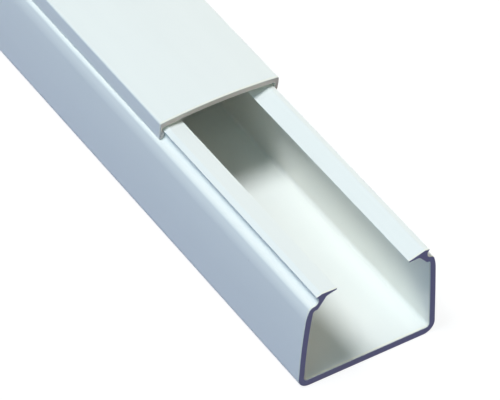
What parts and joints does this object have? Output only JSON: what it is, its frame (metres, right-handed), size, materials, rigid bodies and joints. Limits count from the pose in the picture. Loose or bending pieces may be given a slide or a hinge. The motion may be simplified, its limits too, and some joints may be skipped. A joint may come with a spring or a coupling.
{
  "type": "cord cover raceway",
  "caption": "Straight extruded plastic raceway that hides cords: a channel with leaning walls and a slot between thin flanges, closed by a crowned lid that snaps over its lips.",
  "frame": {"origin": "middle of the channel's flat back face", "axes": "+Y along the raceway, away from the end where the lid is drawn back; +Z out from the wall, through the lid; +X across"},
  "size_m": [0.0248, 0.4424, 0.0202],
  "materials": {
    "channel": "satin",
    "lid": "satin"
  },
  "bodies": {
    "channel": {"base_channel": "channel"},
    "lid": {"snap_lid": "lid"}
  },
  "joints": [
    {"name": "lid_slide", "type": "slide", "parent": "channel", "child": "lid", "axis": [0, 1, 0], "range_m": [-0.0424, 0.36]}
  ]
}
